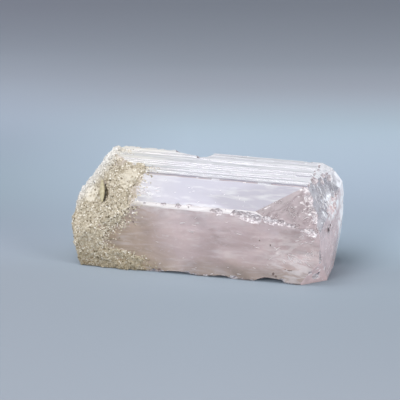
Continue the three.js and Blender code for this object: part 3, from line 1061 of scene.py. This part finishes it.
def build_druse():
    skin, apron = druse_skin(), crystal_apron()
    paint_cover(skin, crust_cover)
    paint_cover(apron, apron_cover)
    material = sandy_druse()
    pieces = [skin]
    for name, ground in (("druse_grains", skin), ("scattered_grains", apron)):
        grains = add_object(name, ground.data.copy())
        grow(grains, grain_nodes(), material)
        for vert in grains.data.vertices:
            vert.co.z = max(vert.co.z, 0.0)
        pieces.append(grains)
    bpy.data.objects.remove(apron)
    skin.data.materials.clear()
    skin.data.materials.append(material)
    for piece in [*pieces, leaf_blade()]:
        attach(piece, "root")
    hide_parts("druse_crust")


CRYSTAL_FACES = [*OUTER_FACES, *TIP_FACES]

# Cracks that reach the surface: face, middle, half-spread along and up, how many, length, slant
CRACKS = [
    (FRONT_FACE, (27.6, FRONT, 6.8), (2.8, 1.7), 14, 1.5, -35),
    (FRONT_FACE, (31, FRONT, 9), (0.9, 1.2), 7, 0.9, 60),
    (FRONT_FACE, (29, FRONT, 12.5), (2.5, 1.4), 10, 0.8, 20),
    (FRONT_FACE, (9, FRONT, 15), (11, 2), 6, 1.0, 2),
    (FRONT_FACE, (19, FRONT, 8), (9, 5), 7, 0.9, 5),
    (FRONT_FACE, (4, FRONT, 3), (16, 2), 9, 0.8, 4),
    (FRONT_FACE, (-8, FRONT, 11), (11, 5.5), 6, 0.9, 2),
    (BIG_BEVEL, (-1, -9, 21.4), (9, 3), 8, 0.5, 20),
    (BIG_BEVEL, (9, -9.6, 20.8), (5, 2), 8, 0.4, 60),
    (BIG_BEVEL, (-13.5, -9.6, 20.8), (2.8, 2.2), 34, 0.9, 8),
    (BACK_FACE, (0, BACK, 13), (30, 10), 40, 1.0, 4),
    (LOWER_END, (TIP, -2, 11), (9, 8), 60, 1.0, 40),
    (LOWER_END, (TIP, -1, 17.5), (3, 2.4), 30, 0.8, -30),
    (UPPER_DOME, (31, 0, 20), (7, 4), 44, 1.0, 50),
    (CORNER_FACE, (30, -9.5, 19), (3, 4), 18, 0.9, 30),
]


def surface_cracks():
    """Short white cleavage cracks just breaking the faces."""
    rng = random.Random(41)
    bm = bmesh.new()
    for (direction, point), middle, (spread_x, spread_up), count, length, slant in CRACKS:
        normal = Vector(direction).normalized()
        side = Vector((1, 0, 0)) if abs(normal.x) < 0.7 else Vector((0, 1, 0))
        side = (side - normal * side.dot(normal)).normalized()
        up = normal.cross(side)
        up = -up if up.z < 0 else up
        root = Vector(middle)
        root -= normal * (root - Vector(point)).dot(normal)
        for _ in range(count):
            place = root + side * rng.gauss(0, spread_x / 2) + up * rng.gauss(0, spread_up / 2)
            angle = math.radians(slant + rng.gauss(0, 16))
            along = side * math.cos(angle) + up * math.sin(angle)
            size = length * rng.uniform(0.2, 1.0)
            axes = Matrix((along, normal.cross(along), normal)).transposed().to_4x4()
            shape = Matrix.Diagonal((size, 0.04 + size * rng.uniform(0.02, 0.3) ** 1.3, 0.03, 1))
            matrix = Matrix.Scale(MM, 4) @ Matrix.Translation(place) @ axes @ shape
            if inside(place - normal * 0.1, CRYSTAL_FACES, 0.05):
                bmesh.ops.create_icosphere(bm, subdivisions=1, radius=1, matrix=matrix)
    return new_object("surface_cracks", bm, [crack_white()])


# Healed fractures inside the crystal: centre, tilt in degrees, half-sizes, flakes a square millimetre
VEILS = [
    ((22, -4, 8), (70, 20, 10), (9, 4), 14),
    ((27, -7, 6), (60, -30, 40), (6, 3.5), 20),
    ((27, -11.3, 6.5), (84, 0, 2), (5.5, 3.2), 20),
    ((29, -3, 15), (30, 60, 0), (6, 5), 12),
    ((12, -6, 10), (80, 5, -20), (12, 5), 8),
    ((0, -5, 9), (75, -8, 15), (13, 6), 7),
    ((-10, -6, 12), (60, 12, -10), (11, 6), 8),
    ((-17, -3, 10), (50, 25, 30), (8, 7), 12),
    ((8, 3, 17), (15, 5, 0), (16, 6), 5),
    ((18, 4, 14), (20, -15, 20), (9, 7), 7),
    ((-8, 4, 18), (12, -6, 10), (14, 6), 6),
]
FLAKE_SIZES = ((0.06, 0.06, 0.01), (0.3, 0.2, 0.02))


def flake_nodes():
    """Tiny flat flakes scattered over a surface, nearly in its plane."""
    tree, sheet, cover = scatter_tree("flakes")
    scatter = add(
        tree,
        "GeometryNodeDistributePointsOnFaces",
        {"distribute_method": "RANDOM", "Seed": 9},
        {"Mesh": sheet, "Density": cover},
    )
    wobble = add(
        tree,
        "FunctionNodeRandomValue",
        {"data_type": "FLOAT_VECTOR", 0: (-0.5, -0.5, -3.1), 1: (0.5, 0.5, 3.1), "Seed": 4},
    )
    turn = add(
        tree,
        "FunctionNodeRotateRotation",
        {"rotation_space": "LOCAL"},
        {0: scatter.outputs["Rotation"], 1: wobble.outputs[0]},
    )
    small, large = [[side * MM for side in sides] for sides in FLAKE_SIZES]
    size = add(
        tree,
        "FunctionNodeRandomValue",
        {"data_type": "FLOAT_VECTOR", 0: small, 1: large, "Seed": 6},
    )
    flake = add(tree, "GeometryNodeMeshIcoSphere", {"Radius": 1.0, "Subdivisions": 1})
    return make_real(tree, set_copies(tree, scatter, flake, turn, size))


def healed_fractures():
    """Wavy sheets of flakes, which give the crystal its cloudy streaks."""
    bm = bmesh.new()
    rates = bm.verts.layers.float.new("cover")
    for index, (centre, tilt, (half_x, half_y), rate) in enumerate(VEILS):
        turn = Matrix.Rotation(math.radians(tilt[2]), 4, "Z")
        turn @= Matrix.Rotation(math.radians(tilt[1]), 4, "Y")
        turn @= Matrix.Rotation(math.radians(tilt[0]), 4, "X")
        place = Matrix.Translation(centre) @ turn @ Matrix.Diagonal((half_x, half_y, 1, 1))
        made = bmesh.ops.create_grid(bm, x_segments=26, y_segments=18, size=1, matrix=place)
        for vert in made["verts"]:
            p = vert.co + turn @ Vector((0, 0, 1.1 * noise.noise(vert.co * 0.2)))
            cloud = noise.noise(vert.co * 0.3 + Vector((index * 5.1, 0, 0))) + 0.15
            streak = noise.noise(Vector((vert.co.x * 0.15, vert.co.y, vert.co.z)) * 1.1) + 0.5
            if inside(p, CRYSTAL_FACES, 0.5):
                vert[rates] = rate * max(cloud, 0) * max(streak, 0) * 2.5 / MM ** 2
            vert.co = p * MM
    veils = new_object("healed_fractures", bm)
    grow(veils, flake_nodes(), fracture_white())
    return veils


def fracture_white():
    """Faces of tiny fluid-filled cracks, which reflect light and look white with a hint of pink."""
    material, tree, shader = new_material("healed_fracture")
    place = add(tree, "ShaderNodeTexCoord")
    whiten(tree, shader, "f3e2df", streaks(tree, place, 1.2, 0.8, 0.4, 0.6), "fdf6f4")
    shader.inputs["Roughness"].default_value = 0.35
    return material


# Dark specks: middle, radii
SPECKS = [
    ((-18.2, FRONT, 12.9), (0.26, 0.1, 0.2)),
    ((-16.1, FRONT, 13.1), (0.24, 0.1, 0.2)),
    ((21.2, FRONT, 2.5), (0.3, 0.12, 0.4)),
    ((21.9, FRONT, 1.9), (0.3, 0.12, 0.25)),
    ((25.5, FRONT, 3.8), (0.75, 0.1, 0.12)),
    ((24.3, FRONT, 4.0), (0.3, 0.1, 0.1)),
    ((33.7, -4.2, 12.9), (0.12, 0.4, 0.75)),
    ((33.8, -3.2, 13.9), (0.12, 0.3, 0.3)),
    ((-9, FRONT, 0.9), (0.4, 0.12, 0.3)),
    ((17.6, FRONT, 11.2), (0.14, 0.1, 0.14)),
    ((20.4, FRONT, 10.1), (0.12, 0.08, 0.3)),
]
SPECK_ROUGHNESS = 0.12


def dark_specks():
    """Small specks of iron oxide on and just under the faces."""
    bm = bmesh.new()
    for middle, radii in SPECKS:
        matrix = Matrix.Translation(mm(middle)) @ Matrix.Diagonal((*mm(radii), 1))
        made = bmesh.ops.create_icosphere(bm, subdivisions=2, radius=1, matrix=matrix)
        for vert in made["verts"]:
            p = vert.co / MM * 3
            bumps = [noise.noise(p + Vector((apart, 0, 0))) for apart in (0, 17.3, 41.9)]
            vert.co += mm(bumps) * SPECK_ROUGHNESS
    return new_object("dark_specks", bm, [iron_speck()])


def iron_speck():
    """Dull brown-black iron oxide."""
    material, tree, shader = new_material("iron_speck")
    place = add(tree, "ShaderNodeTexCoord")
    whiten(tree, shader, "4a3c38", streaks(tree, place, 0.3, 0.2, 0.4, 0.6), "7c6a64")
    shader.inputs["Roughness"].default_value = 0.6
    return material


def crack_white():
    """Air in a thin crack, which scatters light to a milky white."""
    material, tree, shader = new_material("crack_white")
    place = add(tree, "ShaderNodeTexCoord")
    whiten(tree, shader, "dad2d2", streaks(tree, place, 0.8, 0.5, 0.4, 0.6), "f2ecec")
    shader.inputs["Roughness"].default_value = 0.3
    shader.inputs["Transmission Weight"].default_value = 0.45
    shader.inputs["IOR"].default_value = 1.3
    return material


def build_crystal():
    kinds = (
        clear_danburite, etched_danburite, broken_danburite, mirror_danburite,
        bevel_danburite, tip_danburite, corner_danburite, dome_danburite, stained_danburite,
    )
    materials = [make() for make in kinds]
    body = crystal_body(materials)
    smooth_by_angle(body, SHARP_ANGLE)
    body.name = "danburite_prism"
    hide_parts("danburite_crystal")
    for piece in (body, surface_cracks(), healed_fractures(), dark_specks()):
        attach(piece, "root")


# Backdrop at its left and right: millimetres behind the crystal's middle and the colour there. The
# colours hold painted light and shade: darker towards the far edge as painted shade, darker at the
# left and lighter at the right to even out the lamps' light, and lighter still at the right near the
# crystal as painted light over its cast shadow.
NEAR_EDGE = -110
FAR_EDGE = 246
LEFT_PAINTED_LIGHT_TONES = [
    (NEAR_EDGE, "9299a2"), (-5, "949ca6"), (22, "99a3af"), (60, "96a4af"), (105, "9aa6b3"),
    (132, "a0aab7"), (165, "99a0ab"), (197, "8b919b"), (FAR_EDGE, "7d818b"),
]
RIGHT_PAINTED_LIGHT_TONES = [
    (NEAR_EDGE, "959ca5"), (-10, "949fa9"), (11, "a3b2be"), (50, "a6b4c2"), (95, "adbcc9"),
    (120, "aab9c4"), (150, "9fa6b0"), (180, "90969f"), (FAR_EDGE, "7c818a"),
]
LEFT_EDGE = -55
RIGHT_EDGE = -5
FLOOR_HALF = 3  # metres

# Lights: name, sides in metres, watts, place in metres, colour
LIGHTS = [
    ("overhead_softbox", (0.9, 0.9), 6.3, (-0.28, -0.28, 0.7), "ffffff"),
    ("front_fill", (0.5, 0.4), 5, (-0.3, -0.9, 0.4), "ffffff"),
    ("right_fill", (0.5, 0.5), 6.2, (0.85, -0.35, 0.3), "ffffff"),
    ("back_card", (0.5, 0.5), 1.3, (0.6, 0.77, 0.25), "dfe6ff"),
    ("mirror_card", (0.3, 0.3), 0.76, (-0.21, -0.24, 0.75), "e6e7fb"),
]
LIGHT_AIM = (0, 0, 0.01)


def card_colour(tree, depth, tones):
    """The card's colour, with its painted light and shade, from its near to its far edge."""
    stops = [((place - NEAR_EDGE) / (FAR_EDGE - NEAR_EDGE), colour) for place, colour in tones]
    return colour_ramp(tree, depth.outputs[0], stops, "CARDINAL")


def build_floor():
    """A blue-grey card, turned to the camera's side, with painted light and shade in its colour:
    darker towards the far edge, and lighter at the right near the crystal, over its cast shadow.
    """
    bm = bmesh.new()
    bmesh.ops.create_grid(bm, x_segments=2, y_segments=2, size=FLOOR_HALF)
    material, tree, shader = new_material("blue_grey_card_with_painted_light")
    place = add(tree, "ShaderNodeTexCoord")
    turned = add(
        tree,
        "ShaderNodeVectorRotate",
        {"rotation_type": "Z_AXIS", "Angle": -math.radians(CAMERA_AZIMUTH)},
        {"Vector": place.outputs["Object"]},
    )
    axes = add(tree, "ShaderNodeSeparateXYZ", links={0: turned.outputs[0]})
    depth = add(
        tree,
        "ShaderNodeMapRange",
        {"From Min": NEAR_EDGE * MM, "From Max": FAR_EDGE * MM},
        {"Value": axes.outputs["Y"]},
    )
    rightwards = add(
        tree,
        "ShaderNodeMapRange",
        {"From Min": LEFT_EDGE * MM, "From Max": RIGHT_EDGE * MM},
        {"Value": axes.outputs["X"]},
    )
    sides = add(
        tree,
        "ShaderNodeMix",
        {"data_type": "RGBA"},
        {
            0: rightwards.outputs[0],
            6: card_colour(tree, depth, LEFT_PAINTED_LIGHT_TONES),
            7: card_colour(tree, depth, RIGHT_PAINTED_LIGHT_TONES),
        },
    )
    tree.links.new(sides.outputs[2], shader.inputs["Base Color"])
    shader.inputs["Roughness"].default_value = 0.8
    shader.inputs["Specular IOR Level"].default_value = 0.1
    new_object("floor", bm, [material])


def build_lights():
    world = bpy.data.worlds.new("studio")
    world.use_nodes = True
    world.node_tree.nodes["Background"].inputs["Color"].default_value = linear("c9d3e0")
    world.node_tree.nodes["Background"].inputs["Strength"].default_value = 0.25
    bpy.context.scene.world = world
    for name, (width, height), power, place, colour in LIGHTS:
        data = bpy.data.lights.new(name, "AREA")
        data.shape = "RECTANGLE"
        data.size, data.size_y = width, height
        data.energy = power
        data.color = linear(colour)[:3]
        light = add_object(name, data)
        light.location = Vector(place)
        light.rotation_euler = (Vector(LIGHT_AIM) - Vector(place)).to_track_quat("-Z", "Y").to_euler()


def build_camera():
    data = bpy.data.cameras.new("camera")
    camera = add_object("camera", data)
    azimuth, elevation = math.radians(CAMERA_AZIMUTH), math.radians(CAMERA_ELEVATION)
    out = Vector((
        math.sin(azimuth) * math.cos(elevation),
        -math.cos(azimuth) * math.cos(elevation),
        math.sin(elevation),
    ))
    camera.location = mm(CAMERA_AIM) + out * CAMERA_DISTANCE
    camera.rotation_euler = (-out).to_track_quat("-Z", "Y").to_euler()
    data.sensor_width = SENSOR
    data.lens = SENSOR * CAMERA_DISTANCE / (IMAGE_SIZE / PIXELS_PER_MM * MM)
    data.clip_end = 20
    bpy.context.scene.camera = camera


bpy.context.scene.view_settings.view_transform = "Standard"
build_camera()
build_floor()
build_lights()
build_crystal()
build_druse()
